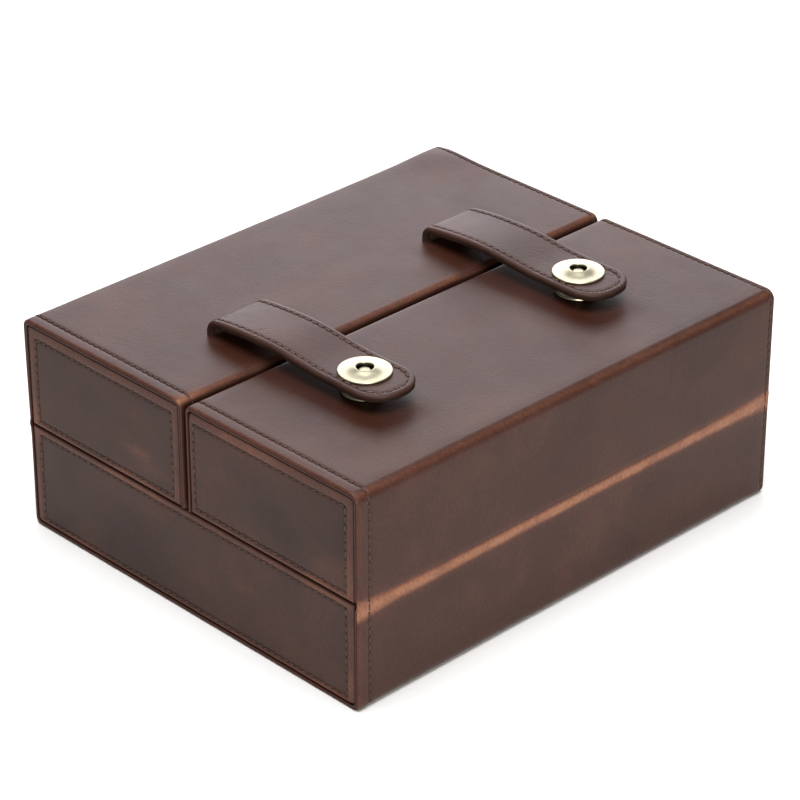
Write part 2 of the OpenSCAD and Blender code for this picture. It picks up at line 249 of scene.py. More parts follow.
def lathe(name, profile, centre, sides=96, wear_and_shade=None):
    """A turned piece. profile is radius and height pairs, and the wear and painted shade list has a value for
    each.
    """
    cx, cy, cz = centre
    points, rings, shade = [], [], []
    for number, (radius, height) in enumerate(profile):
        start = len(points)
        count = 1 if radius < 1e-6 else sides
        shade += [wear_and_shade[number] if wear_and_shade else 0.0] * count
        for a in around(sides)[:count]:
            points.append((cx + radius * cos(a), cy + radius * sin(a), cz + height))
        rings.append([start + k % count for k in range(sides)])
    faces = []
    for a, b in zip(rings, rings[1:]):
        for k in range(sides):
            quad = [a[k], a[(k + 1) % sides], b[(k + 1) % sides], b[k]]
            face = [v for i, v in enumerate(quad) if v not in quad[:i]]
            if len(face) > 2:
                faces.append(tuple(face))
    return make_mesh(name, points, faces, shade, 50)


def slab(name, plan, top, bottom, place, wear_and_shade=None, sharp=40):
    """A closed sheet over a plan grid: top and bottom give depths at a plan point, place a point in space."""
    rows, cols = len(plan), len(plan[0])
    flat = [p for row in plan for p in row]
    points = [place(a, b, top(a, b)) for a, b in flat]
    points += [place(a, b, bottom(a, b)) for a, b in flat]
    shade = [wear_and_shade(a, b) for a, b in flat] * 2 if wear_and_shade else None
    half = rows * cols
    faces = []
    for i in range(rows - 1):
        for j in range(cols - 1):
            corner = i * cols + j
            quad = (corner, corner + 1, corner + cols + 1, corner + cols)
            faces.append(quad)
            faces.append(tuple(half + v for v in reversed(quad)))
    rim = list(range(cols))
    rim += [i * cols + cols - 1 for i in range(1, rows)]
    rim += [(rows - 1) * cols + j for j in range(cols - 2, -1, -1)]
    rim += [i * cols for i in range(rows - 2, 0, -1)]
    for a, b in zip(rim, rim[1:] + rim[:1]):
        faces.append((b, a, half + a, half + b))
    return make_mesh(name, points, faces, shade, sharp)


# ---------------- materials

class Look:
    """A material's nodes. A method that adds a texture, a sum or a colour returns its output."""

    def __init__(self, name):
        self.material = bpy.data.materials.new(name)
        self.material.use_nodes = True
        self.nodes = self.material.node_tree.nodes
        self.links = self.material.node_tree.links
        self.shader = self.nodes["Principled BSDF"]

    def put(self, socket, value):
        """Sets a socket to a number or a colour, or joins it to another node's output."""
        if hasattr(value, "links"):
            self.links.new(value, socket)
        elif isinstance(value, tuple):
            socket.default_value = (*value, 1)
        else:
            socket.default_value = value

    def shade(self, values):
        for name, value in values.items():
            self.put(self.shader.inputs[name], value)

    def attribute(self, name, output):
        node = self.nodes.new("ShaderNodeAttribute")
        node.attribute_name = name
        return node.outputs[output]

    def rest_place(self):
        """The point's place at rest, in metres."""
        return self.attribute("rest", "Vector")

    def object_place(self):
        return self.nodes.new("ShaderNodeTexCoord").outputs["Object"]

    def darkening(self):
        """The wear and painted shade attribute below zero, turned round: 1 where it is -1."""
        return self.maths("MULTIPLY", self.attribute("wear_and_shade", "Fac"), -1.0, clamp=True)

    def texture(self, kind, output, place, scale, **inputs):
        node = self.nodes.new(kind)
        self.links.new(place, node.inputs["Vector"])
        for name, value in (("Scale", scale), *inputs.items()):
            node.inputs[name].default_value = value
        return node.outputs[output]

    def noise(self, place, scale, **inputs):
        return self.texture("ShaderNodeTexNoise", "Fac", place, scale, **inputs)

    def maths(self, operation, *values, clamp=False):
        node = self.nodes.new("ShaderNodeMath")
        node.operation = operation
        node.use_clamp = clamp
        for socket, value in zip(node.inputs, values):
            self.put(socket, value)
        return node.outputs[0]

    def scaled(self, value, factor, plus, clamp=False):
        """value times factor, plus a number or another output."""
        return self.maths("MULTIPLY_ADD", value, factor, plus, clamp=clamp)

    def tone(self, factor, stops, ease=False):
        """A colour that runs through stops, each a place from 0 to 1 and a colour."""
        node = self.nodes.new("ShaderNodeValToRGB")
        node.color_ramp.interpolation = "EASE" if ease else "LINEAR"
        elements = node.color_ramp.elements
        while len(elements) < len(stops):
            elements.new(0.5)
        for element, (place, colour) in zip(elements, stops):
            element.position = place
            element.color = (*colour, 1)
        self.links.new(factor, node.inputs[0])
        return node.outputs["Color"]

    def mix(self, factor, a, b, blend="MIX"):
        node = self.nodes.new("ShaderNodeMix")
        node.data_type = "RGBA"
        node.blend_type = blend
        for number, value in ((0, factor), (6, a), (7, b)):
            self.put(node.inputs[number], value)
        return node.outputs[2]

    def relief(self, height, strength, distance):
        node = self.nodes.new("ShaderNodeBump")
        self.put(node.inputs["Strength"], strength)
        self.put(node.inputs["Distance"], distance)
        self.links.new(height, node.inputs["Height"])
        self.links.new(node.outputs["Normal"], self.shader.inputs["Normal"])


def grey(value):
    return (value, value, value)


def leather(name, dark, mid, light, tan, roughness, shine, creases=0.0):
    """Waxed pull-up leather: mottled brown with fine pores. The wear and painted shade attribute makes it
    paler and redder up to 1, where it bends, and darker down to -1: at seams and painted edges, and as
    painted shade in the tray gap and under and in front of the straps."""
    look = Look(name)
    place = look.rest_place()
    wear_and_shade = look.attribute("wear_and_shade", "Fac")
    clouds = look.noise(place, 22, Detail=3, Roughness=0.55)
    blotch = look.noise(place, 95, Detail=4, Roughness=0.6)
    fibre = look.noise(place, 900, Detail=3, Roughness=0.65)
    mottle = look.maths("ADD", clouds, look.scaled(blotch, 0.3, -0.15))
    colour = look.tone(mottle, [(0.34, dark), (0.50, mid), (0.70, light)], ease=True)
    # pulled-up wax: reddish first, tan where the leather bends hard
    up = look.maths("MAXIMUM", wear_and_shade, 0.0)
    ragged = look.scaled(fibre, 0.36, -0.18)
    broken = look.scaled(blotch, 0.6, -0.3)
    uneven = look.maths("ADD", ragged, broken)
    patchy = look.maths("MULTIPLY", uneven, look.maths("POWER", up, 0.7))
    worn = look.maths("ADD", up, patchy, clamp=True)
    russet, rust = (0.076, 0.029, 0.019), (0.150, 0.058, 0.032)
    pulled = look.tone(worn, [(0.0, mid), (0.32, russet), (0.66, rust), (1.0, tan)])
    amount = look.tone(worn, [(0.0, grey(0)), (0.3, grey(0.8)), (0.6, grey(1))])
    colour = look.mix(amount, colour, pulled)
    # faint fibres in the colour
    fleck = look.tone(fibre, [(0.3, grey(0.70)), (0.7, grey(1.28))])
    colour = look.mix(0.6, colour, fleck, "MULTIPLY")
    # burnished seams and edges, and painted shade in the tray gap and by the straps: darker and also duller
    burnish_and_shade = look.darkening()
    colour = look.mix(burnish_and_shade, colour, (0.030, 0.0085, 0.0046))
    gloss = look.scaled(blotch, 0.16, roughness - 0.08)
    look.shade({
        "Base Color": colour,
        "Roughness": look.scaled(fibre, 0.10, gloss),
        "Specular IOR Level": look.scaled(burnish_and_shade, -0.75 * shine, shine),
    })
    pores = look.texture("ShaderNodeTexVoronoi", "Distance", place, 1150)
    pebble = look.noise(place, 520, Detail=5, Roughness=0.6)
    height = look.scaled(pores, 0.5, pebble)
    if creases:
        height = look.maths("ADD", height, crease_depth(look, place, creases))
    look.relief(height, 0.24, 0.00022)
    return look.material


def crease_depth(look, place, depth):
    """Fine wandering creases in patches, as a height below zero."""
    field = look.noise(place, 85, Detail=2, Distortion=0.8)
    patches = look.noise(place, 38, Detail=1)
    away = look.maths("ABSOLUTE", look.maths("SUBTRACT", field, 0.5))
    line = look.scaled(away, -26, 1.0, clamp=True)
    inside = look.scaled(patches, 7, -3.5, clamp=True)
    return look.maths("MULTIPLY", look.maths("MULTIPLY", line, inside), -depth)


def thread(name, dark, mid, light):
    """Waxed thread with a twist along it, nearly black at the needle holes as painted shade there."""
    look = Look(name)
    twist = look.noise(look.rest_place(), 2600, Detail=2, Roughness=0.6)
    tone = look.tone(twist, [(0.3, dark), (0.5, mid), (0.75, light)])
    # painted shade at the needle holes
    colour = look.mix(look.darkening(), tone, (0.004, 0.002, 0.002))
    look.shade({"Base Color": colour, "Roughness": 0.6, "Specular IOR Level": 0.3})
    look.relief(twist, 0.5, 0.0002)
    return look.material


def brass(name, tone_a, tone_b):
    """Pale plated brass with slight clouding, nearly black as painted shade where the wear and painted shade
    attribute falls to -1.
    """
    look = Look(name)
    place = look.object_place()
    haze = look.noise(place, 240, Detail=4, Roughness=0.6)
    grain = look.noise(place, 3200, Detail=2, Roughness=0.5)
    tone = look.tone(haze, [(0.35, tone_a), (0.68, tone_b)])
    # painted shade: the cap's hole and the stud's flange under the strap
    colour = look.mix(look.darkening(), tone, (0.045, 0.047, 0.033))
    roughness = look.scaled(haze, 0.18, 0.28)
    look.shade({"Base Color": colour, "Roughness": roughness, "Metallic": 1.0})
    look.relief(grain, 0.12, 0.00008)
    return look.material


def suede(name, dark, light, nap=0.5):
    """Short-napped microsuede, brushed in soft patches."""
    look = Look(name)
    place = look.rest_place()
    patch = look.noise(place, 60, Detail=3, Roughness=0.6)
    fuzz = look.noise(place, 2400, Detail=3, Roughness=0.7)
    both = look.scaled(fuzz, 0.45, look.maths("MULTIPLY", patch, 0.55))
    colour = look.tone(both, [(0.35, dark), (0.65, light)])
    look.shade({"Base Color": colour, "Roughness": 0.92, "Sheen Weight": 0.6, "Sheen Roughness": 0.4})
    look.relief(fuzz, nap, 0.0003)
    return look.material


def fibreboard():
    """Pressed board, hidden under the leather."""
    look = Look("fibreboard")
    speck = look.noise(look.object_place(), 1500, Detail=4, Roughness=0.7)
    colour = look.tone(speck, [(0.3, (0.16, 0.12, 0.085)), (0.7, (0.30, 0.235, 0.17))])
    look.shade({"Base Color": colour, "Roughness": 0.85})
    look.relief(speck, 0.3, 0.0002)
    return look.material


TAN = (0.262, 0.116, 0.064)
LEATHER = leather(
    "wrap_leather_look", (0.037, 0.0150, 0.0106), (0.045, 0.0182, 0.0126), (0.060, 0.0240, 0.0158),
    TAN, roughness=0.35, shine=0.17, creases=0.3)
PANEL_LEATHER = leather(
    "panel_leather_look", (0.028, 0.0122, 0.0090), (0.037, 0.0160, 0.0116), (0.050, 0.0205, 0.0142),
    TAN, roughness=0.44, shine=0.18)
STRAP_LEATHER = leather(
    "strap_leather_look", (0.032, 0.0150, 0.0122), (0.043, 0.0200, 0.0160), (0.058, 0.0270, 0.0208),
    (0.25, 0.105, 0.060), roughness=0.35, shine=0.155, creases=2.4)
BACKING_LEATHER = leather(
    "backing_leather_look", (0.018, 0.010, 0.008), (0.026, 0.014, 0.011), (0.040, 0.022, 0.016),
    (0.2, 0.1, 0.06), roughness=0.50, shine=0.16)
THREAD = thread("waxed_thread_look", (0.022, 0.010, 0.007), (0.055, 0.027, 0.019), (0.13, 0.072, 0.050))
STRAP_THREAD = thread("strap_thread_look", (0.040, 0.018, 0.014), (0.085, 0.040, 0.032), (0.17, 0.092, 0.075))
CAP_BRASS = brass("pale_brass_look", (0.44, 0.415, 0.290), (0.555, 0.53, 0.385))
HOOK_BRASS = brass("hook_brass_look", (0.62, 0.45, 0.20), (0.78, 0.60, 0.32))
SUEDE = suede("lining_suede_look", (0.26, 0.185, 0.125), (0.37, 0.275, 0.19))
ROLL_SUEDE = suede("roll_suede_look", (0.29, 0.21, 0.145), (0.41, 0.305, 0.215))
POCKET_SUEDE = suede("pocket_suede_look", (0.24, 0.17, 0.115), (0.34, 0.25, 0.175), 0.4)
FOAM = suede("foam_look", (0.50, 0.45, 0.36), (0.62, 0.57, 0.47), 0.8)
BOARD = fibreboard()


# ---------------- stitches

# one stitch from end to end: place along it as a share of its length, height over the leather, thickness
STITCH_SHAPE = (
    (-0.49, -0.40, 0.8), (-0.42, -0.06, 1.2), (-0.26, 0.10, 1.0), (0.0, 0.15, 1.0),
    (0.26, 0.10, 1.0), (0.42, -0.06, 1.2), (0.49, -0.40, 0.8))
# its share of the pitch, its lean across the run, and how far from its middle the needle hole begins
STITCH_SHARE = 0.90
STITCH_LEAN = 0.10
STITCH_SIDES = 6
HOLE_FROM = 0.3


def stitches(name, run, pitch=STITCH_PITCH, radius=THREAD_R):
    """Thread along a run of (point, outward normal). Each stitch dives into the leather at both ends."""
    lengths = [0.0]
    for (a, _), (b, _) in zip(run, run[1:]):
        lengths.append(lengths[-1] + (Vector(b) - Vector(a)).length)
    count = max(1, round(lengths[-1] / pitch))
    pitch = lengths[-1] / count

    def at(s):
        """The point and the normal at a length s along the run."""
        k = 0
        while k < len(lengths) - 2 and s > lengths[k + 1]:
            k += 1
        t = (s - lengths[k]) / max(1e-9, lengths[k + 1] - lengths[k])
        point = Vector(run[k][0]).lerp(Vector(run[k + 1][0]), t)
        normal = Vector(run[k][1]).lerp(Vector(run[k + 1][1]), t).normalized()
        return point, normal

    points, faces, dark = [], [], []
    for k in range(count):
        first = len(points)
        normal = at((k + 0.5) * pitch)[1]
        ahead = (at((k + 0.75) * pitch)[0] - at((k + 0.25) * pitch)[0]).normalized()
        along = (ahead + STITCH_LEAN * normal.cross(ahead)).normalized()
        across = normal.cross(along)
        for shift, rise, scale in STITCH_SHAPE:
            # painted shade: the thread is nearly black at both ends, where it goes into its needle holes
            dark += [-1.0 if abs(shift) > HOLE_FROM else 0.0] * STITCH_SIDES
            centre, up = at((k + 0.5 + shift * STITCH_SHARE) * pitch)
            centre = centre + across * (shift * pitch * STITCH_LEAN) + up * rise
            for a in around(STITCH_SIDES):
                points.append(tuple(centre + (across * cos(a) + up * sin(a)) * radius * scale))
        faces += ring_faces(len(STITCH_SHAPE), STITCH_SIDES, first)
        last = len(points) - STITCH_SIDES
        faces.append(tuple(reversed(range(first, first + STITCH_SIDES))))
        faces.append(tuple(range(last, last + STITCH_SIDES)))
    return make_mesh(name, points, faces, dark, 60)


# ---------------- wrap leather

# how near the middle of a bend the leather counts as bent
BEND_REACH = 9
# the wrap lies flat on the table below this height, and its groove is shallower there
UNDERSIDE_Z = 1
UNDERSIDE_GROOVE = 0.55
# the thread lies this far over the bottom of its groove
THREAD_LIFT = 0.08
# width of the skived band at the fold, on each side, and the least leather under a groove
SKIVE_W = 3.2
LEAST_T = 0.6
# heights of the lips beside the stitch groove, of the bottom edge's fuller ends, and of the fold's ridge, and
# the depth of the fold's crease
OUTER_LIP = 0.10
INNER_LIP = 0.05
CORNER_FILL = 0.45
FOLD_RIDGE = 0.14
FOLD_CREASE = 0.16
# the pale band over the fold: its middle and half width
FOLD_BAND_Z = FOLD_Z - 2.2
FOLD_BAND_W = 2.35
# the left tray's soft side: where it begins, inwards and upwards, and how far it stands out at the front end
SOFT_IN = 14
SOFT_Z = 30
SOFT_OUT = 0.75
# how far its back corner is lifted, and how far the very corner falls back
CORNER_UP = 0.9
CORNER_OVER = 0.7


def wrap_path(top_r):
    """The wrap's outer line on the right, as X, Z and its normal, from under the base to the tray gap."""
    path = [(x, 0.0, 0.0, -1.0) for x in steps(0, SIDE_X - EDGE_R, 6)]
    path += turn(SIDE_X - EDGE_R, EDGE_R, EDGE_R, -90, 0)
    below, above = FOLD_LO[2] - 5, FOLD_HI[2] + 1
    side = steps(EDGE_R, below, 4)[1:] + steps(below, above, 0.5) + steps(above, TOP_Z - top_r, 4)
    path += [(SIDE_X, z, 1.0, 0.0) for z in side]
    path += turn(SIDE_X - top_r, TOP_Z - top_r, top_r, 0, 90)
    path += [(x, TOP_Z, 0.0, 1.0) for x in steps(SIDE_X - top_r, INNER_X + GAP_R, 4)[1:]]
    path += turn(INNER_X + GAP_R, TOP_Z - GAP_R, GAP_R, 90, 180)
    path += [(INNER_X, z, -1.0, 0.0) for z in steps(TOP_Z - GAP_R, TRAY_BOTTOM, 4)[1:] + [TRAY_BOTTOM]]
    return path


def turn(cx, cz, r, a0, a1):
    """A quarter turn of the outer line in nine steps."""
    return [(cx + r * cos(a), cz + r * sin(a), cos(a), sin(a)) for a in fan(a0, a1, 9)]


def end_distances(stitch_in):
    """Distances from an end at which the wrap has rows: close at the rolled edge and the groove."""
    rolled = [ROLL_R * (1 - sin(radians(a))) for a in (90, 76, 62, 48, 34, 20, 0)]
    around = (-1.6, -1.0, -0.5, -0.22, 0.0, 0.22, 0.5, 1.0, 1.6)
    groove = [stitch_in + d for d in around if stitch_in + d > ROLL_R + 0.2]
    return rolled + steps(ROLL_R, groove[0], 0.9)[1:] + groove + [9.0, 12.0]


def wrap_rows():
    near = [-END_Y + d for d in end_distances(STITCH_IN[-1])]
    far = [END_Y - d for d in reversed(end_distances(STITCH_IN[1]))]
    return near + steps(near[-1], far[0], 5)[1:] + far


def leather_thickness(x, z):
    """Skived to half at the fold."""
    skived = smooth(1 - abs(z - FOLD_Z) / SKIVE_W) if x > SIDE_X - 1 else 0.0
    return WRAP_T * (1 - 0.5 * skived)


def fold_wear(z, end, fine):
    """The pale band over the fold, which is wider at the ends, with a fainter fringe."""
    flare = 1 + 0.8 * exp(-end / 9) + 0.35 * exp(-end / 40)
    middle = FOLD_BAND_Z - 0.5 * fine
    band = exp(-abs((z - middle) / (FOLD_BAND_W * flare)) ** 3.2)
    fringe = bump(z, middle, 4.2 * flare)
    return max(0.98 * band * (0.86 + 0.22 * fine), 0.38 * fringe)


def wrap_wear_and_shade(x, y, z, end, left):
    """How far the wax has pulled up: at the fold, the bends and the rolled ends. Below zero it is dark: at
    the very end, and as painted shade down in the tray gap and under and in front of the straps."""
    patch = cloud(x, y, z, 23, 3.1)
    fine = cloud(x, y, z, 7, 9.4)
    rolled = 0.24 if y < 0 else 0.10
    worn = rolled * bump(end, 0.6, 1.7) + 0.07 * bump(end, 3.0, 1.6) + 0.10 * patch * bump(end, 3.0, 3.0)
    if x > SIDE_X - 2.5 and FOLD_LO[2] - 9 < z < FOLD_HI[2] + 6:
        worn = max(worn, fold_wear(z, end, fine))
    # in both bends slant is 0 in the middle, negative below it and positive above it
    if z > TOP_Z - BEND_REACH and x > SIDE_X - BEND_REACH:
        slant = (SIDE_X - x) - (TOP_Z - z)
        strength = 0.30 + 0.12 * patch + 0.06 * exp(-end / 12)
        worn = max(worn, strength * bump(slant, 0.6 + 1.8 * (fine - 0.5), 1.9 + 0.8 * patch))
    if z > TRAY_BOTTOM and x < INNER_X + BEND_REACH:
        slant = (x - INNER_X) - (TOP_Z - z)
        if z > TOP_Z - BEND_REACH:
            strength = (0.50 + 0.22 * exp(-end / 9) if left else 0.10) * (0.55 + 0.65 * patch)
            worn = max(worn, strength * bump(slant, 1.2, 2.9 if left else 2.0))
        # painted shade: the inner wall down in the tray gap, below its bend, is darkened as the shade that
        # falls there
        worn -= 1.5 * smooth((-0.4 - slant) / 2.6) * smooth((end - 0.1) / 0.8)
    if z < EDGE_R + 2 and x > SIDE_X - EDGE_R - 2:
        worn += 0.08 * patch
    worn -= 0.9 * smooth(1 - end / 0.16)
    # painted shadow: the tops under and in front of the straps are darkened as the straps' shadow and their
    # blocked reflection
    if z > TOP_Z - 1:
        worn -= 0.85 * strap_shade(-x if left else x, y) * (0.7 + 0.3 * fine)
    return max(-0.9, min(1.0, worn))


def strap_shade(x, y):
    """How far, from 0 to 1, a point on the tops lies in a strap's painted shadow: under a strap or just in
    front of it.
    """
    share = 0.0
    for middle in (-STRAP_Y, STRAP_Y):
        along = min(x - ROOT_X - 3, TIP_X + 12 - x)
        across = min(y - middle + STRAP_W / 2 + 10, middle + STRAP_W / 2 - 1 - y)
        share = max(share, smooth(min(along, across) / 10 + 0.15))
    return share


def fullness(x, y, z):
    """How far the left tray's soft outer side stands out, most at its back end."""
    inward = SIDE_X - x
    if inward > SOFT_IN:
        return 0.0
    out = SOFT_OUT * (1 + smooth(y / END_Y))
    return out * smooth((z - SOFT_Z) / 50) * smooth(1 - inward / SOFT_IN)


def corner_lift(x, y, z):
    """Rise of the left tray's top towards its back outer corner, which is rounded over."""
    if y < 0:
        return 0.0
    end = END_Y - y
    up = CORNER_UP * bump(x, SIDE_X - 7, 13) * bump(end, 6, 14)
    over = CORNER_OVER * bump(max(SIDE_X - 1.5 - x, 0.0), 0, 2.6) * bump(end, 0, 2.6)
    return (up - over) * smooth((z - TOP_Z + 6) / 6)


def wrap_offset(side, spot, y):
    """How far the outer face stands out from its nominal line: rolled end, groove with raised lips, lumps,
    fuller ends of the bottom edge, and the ridge and crease of the fold."""
    x, z, nx, nz = spot
    end = END_Y - abs(y)
    stitch_in = STITCH_IN[1 if y > 0 else -1]
    drop = round_drop(end, ROLL_R) + GROOVE_D * bump(end, stitch_in, GROOVE_W)
    drop -= OUTER_LIP * bump(end, 0.6 * stitch_in, 1.2) + INNER_LIP * bump(end, stitch_in + 2.2, 1.5)
    drop = min(drop, leather_thickness(x, z) - LEAST_T)
    if z < UNDERSIDE_Z:
        out = min(-UNDERSIDE_GROOVE * drop, 0.0)
    else:
        out = 0.10 * wave(x * side, y, z, 34, 1.7) + 0.035 * wave(x * side, y, z, 9, 5.2) - drop
    if z < EDGE_R and nx > 0 > nz:
        out += CORNER_FILL * bump(end, 0, 7) * (2 * nx * nz) ** 2
    if x > SIDE_X - 1:
        out += FOLD_RIDGE * bump(z, FOLD_Z - 2.0, 2.0) - FOLD_CREASE * bump(z, FOLD_Z + 0.4, 0.5)
    return out


def wrap_point(side, spot, y, out):
    """A point of one side's wrap, with the left tray's softness."""
    x, z, nx, nz = spot
    full, rise = (fullness(x, y, z), corner_lift(x, y, z)) if side < 0 else (0.0, 0.0)
    return side * (x + nx * out + full), y, max(0.0, z + nz * out + rise)


def wrap_piece(side):
    """One side's wrap leather with its fold, as one sheet."""
    path = wrap_path(TOP_R[side])
    rings, wear_and_shade = [], []
    for y in wrap_rows():
        end = END_Y - abs(y)
        outer, inner, outer_wear_and_shade = [], [], []
        for spot in path:
            x, z, nx, nz = spot
            deep = leather_thickness(x, z) - round_drop(end, BAND_INNER_R)
            outer.append(wrap_point(side, spot, y, wrap_offset(side, spot, y)))
            inner.append((side * (x - nx * deep), y, z - nz * deep))
            # wear of the outer face, with painted shade in the tray gap and by the straps
            outer_wear_and_shade.append(wrap_wear_and_shade(x, y, z, end, side < 0))
        rings.append(outer + inner[::-1])
        wear_and_shade += outer_wear_and_shade + [0.0 if end < 0.1 else -0.95] * len(path)
    n = len(rings[0])
    last = (len(rings) - 1) * n
    faces = ring_faces(len(rings), n)
    for i in range(len(path) - 1):
        for start in (0, last):
            faces.append((start + i, start + i + 1, start + n - 2 - i, start + n - 1 - i))
    tray = "left" if side < 0 else "right"
    obj = make_mesh(tray + "_wrap_and_fold", [p for ring in rings for p in ring], faces, wear_and_shade, 50)
    nodes = ("base_wrap_leather", tray + "_wrap_leather", tray + "_hinge_leather")
    dress(obj, None, LEATHER, nodes)
    blend_fold(obj)
    for end_side, end_name in ENDS:
        y = end_side * (END_Y - STITCH_IN[end_side])
        wrap_stitching(f"{tray}_{end_name}_wrap_stitching", side, path, y)


def wrap_stitching(name, side, path, y):
    run = []
    for spot in path:
        z, nx, nz = spot[1:]
        if z >= 0.5 or nz >= -0.9:
            run.append((wrap_point(side, spot, y, THREAD_LIFT - GROOVE_D), (side * nx, 0, nz)))
    line = stitches(name, run)
    dress(line, None, THREAD)
    blend_fold(line)


def blend_fold(obj):
    """Bakes a piece's transform into its mesh."""
    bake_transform(obj)


# ---------------- end panels

# a panel's rounded edge, and the width of the border outside its stitches that swells
PANEL_EDGE_R = 0.8
PANEL_BORDER = 4.0


def panel_lines(length, inset_a, inset_b):
    """Grid lines across a panel: close over its rounded edges and its stitch grooves."""
    edge = [0, 0.1, 0.26, 0.5, PANEL_EDGE_R]
    around = (-1.4, -0.9, -0.5, -0.22, 0, 0.22, 0.5, 0.9, 1.5)
    near = edge + [inset_a + d for d in around if inset_a + d > 1.0]
    far = [length - d for d in edge] + [length - inset_b - d for d in around if inset_b + d > 1.0]
    far.sort()
    return near + steps(near[-1], far[0], 4.5)[1:] + far


def end_panel(part, body, end_side, end_name, insets, corners, corner_r, rubbed):
    """A stitched leather panel. insets are the stitch distances from its low-X, high-X, bottom and top edges,
    corners are the signs of X and Z of those rounded by corner_r, and rubbed lists worn patches as X, Z, half
    width, half height and strength."""
    node = f"{part}_{end_name}_end_panel"
    name = f"{part}_{end_name}_panel"
    low, high = box_mm(node)
    x0, x1, z0, z1 = low[0], high[0], low[2], high[2]
    face = high[1] if end_side > 0 else low[1]

    def corner(x, z):
        """The centre of the rounded corner that a point lies in, if any, and the point's place from there."""
        for sx, sz in corners:
            cx = x1 - corner_r if sx > 0 else x0 + corner_r
            cz = z1 - corner_r if sz > 0 else z0 + corner_r
            if sx * (x - cx) > 0 and sz * (z - cz) > 0:
                return cx, cz, x - cx, z - cz
        return None

    def plan_point(x, z):
        """Draws the grid's square corners in to the rounded outline."""
        found = corner(x, z)
        if not found:
            return x, z
        cx, cz, a, b = found
        k = max(abs(a), abs(b)) / hypot(a, b)
        return cx + a * k, cz + b * k

    def edges(x, z):
        return x - x0, x1 - x, z - z0, z1 - z

    def inside(x, z):
        """Distance from the panel's outline."""
        found = corner(x, z)
        return corner_r - hypot(*found[2:]) if found else min(edges(x, z))

    def to_stitch(x, z):
        """Distance inwards from the stitch line, negative in the border."""
        return min(e - i for e, i in zip(edges(x, z), insets))

    def top(x, z):
        s, m = inside(x, z), to_stitch(x, z)
        share = min(1, max(0, (m + PANEL_BORDER) / PANEL_BORDER))
        border = 0.22 * sin(pi * share) if m < 0 else 0.0
        lump = 0.08 * wave(x, face, z, 26, 4.4) + 0.03 * wave(x, face, z, 8, 2.2)
        drop = round_drop(s, PANEL_EDGE_R) + GROOVE_D * bump(m, 0, GROOVE_W)
        return drop - border * smooth(s / 1.2) - lump * smooth(s)

    def bottom(x, z):
        return high[1] - low[1]

    def place(x, z, depth):
        return x, face - end_side * depth, z

    def wear_and_shade(x, z):
        """Paler in the border, in soft patches and where it is rubbed. Dark at the very edge."""
        s, m = inside(x, z), to_stitch(x, z)
        patch = cloud(x, face, z, 17, 6.3)
        border = smooth(-m / 0.8) * (0.24 + 0.14 * patch)
        glow = 0.16 * smooth(wave(x, face, z * 1.6, 30, 8.1) * 3.2 - 0.9)
        for px, pz, wide, tall, strength in rubbed:
            glow += strength * exp(-((x - px) / wide) ** 2 - ((z - pz + 0.25 * (x - px)) / tall) ** 2)
        return min(1, border + glow) - 1.5 * smooth(1 - s / 0.8)

    xs = [x0 + d for d in panel_lines(x1 - x0, insets[0], insets[1])]
    zs = [z0 + d for d in panel_lines(z1 - z0, insets[2], insets[3])]
    plan = [[plan_point(x, z) for z in zs] for x in xs]
    obj = slab(name, plan, top, bottom, place, wear_and_shade)
    dress(obj, body, PANEL_LEATHER, (node,))

    left, right, floor, ceiling = x0 + insets[0], x1 - insets[1], z0 + insets[2], z1 - insets[3]
    loop = [(left, floor), (right, floor), (right, ceiling), (left, ceiling), (left, floor)]
    runs = []
    for k, ends in enumerate(zip(loop, loop[1:])):
        run = [(place(x, z, GROOVE_D - THREAD_LIFT), (0, end_side, 0)) for x, z in ends]
        runs.append(stitches(f"{name}_run{k}", run))
    dress(join(runs, name + "_stitching"), body, THREAD)


def all_end_panels():
    seam_r = EDGE_R - WRAP_T
    bottom_corners, top_corners = ((-1, -1), (1, -1)), ((-1, 1), (1, 1))
    layout = (
        ("base", "base", (4.3, 4.3, 2.2, 3.2), bottom_corners, seam_r,
         ((22, 28, 8, 9, 0.20), (-60, 12, 12, 5, 0.12))),
        ("left", "left_lid", (4.3, 4.1, 2.6, 4.6), top_corners, TOP_R[-1] - WRAP_T,
         ((-24, 55, 13, 4, 0.42),)),
        ("right", "right_lid", (2.3, 4.3, 2.6, 4.6), top_corners, seam_r, ((70, 52, 9, 5, 0.12),)),
    )
    for part, body, insets, corners, corner_r, rubbed in layout:
        for end_side, end_name in ENDS:
            worn = rubbed if end_side < 0 else ()
            end_panel(part, body, end_side, end_name, insets, corners, corner_r, worn)


# ---------------- straps

def strap_rise(x):
    """Height of the strap's outer face over the top, past the root bend, as in the CAD."""
    if x < 0:
        return CROWN - CROWN_DROP * (x / FLAT_X) ** 2
    if x < FLAT_X:
        return SNAP_Z + (CROWN - SNAP_Z) * (1 + cos(pi * x / FLAT_X)) / 2
    return SNAP_Z


# the root bend's centre, the X at which the strap runs on from it, and its length
BEND_CX = ROOT_X + BEND_R
MEET_X = BEND_CX + BEND_R * cos(BEND_END)
BEND_CZ = strap_rise(MEET_X) - BEND_R * sin(BEND_END)
ARC_L = BEND_R * (pi - BEND_END)
BEND_U = MEET_X - ARC_L

# the strap's rounded edge, its stitches, its length down in the slot, and the room under the cap
STRAP_EDGE_R = 0.9
STRAP_PITCH = 3.5
STRAP_THREAD_R = 0.33
ROOT_DEPTH = 4.0
LINING_INSET = 0.12
CAP_SEAT_R = 4.1


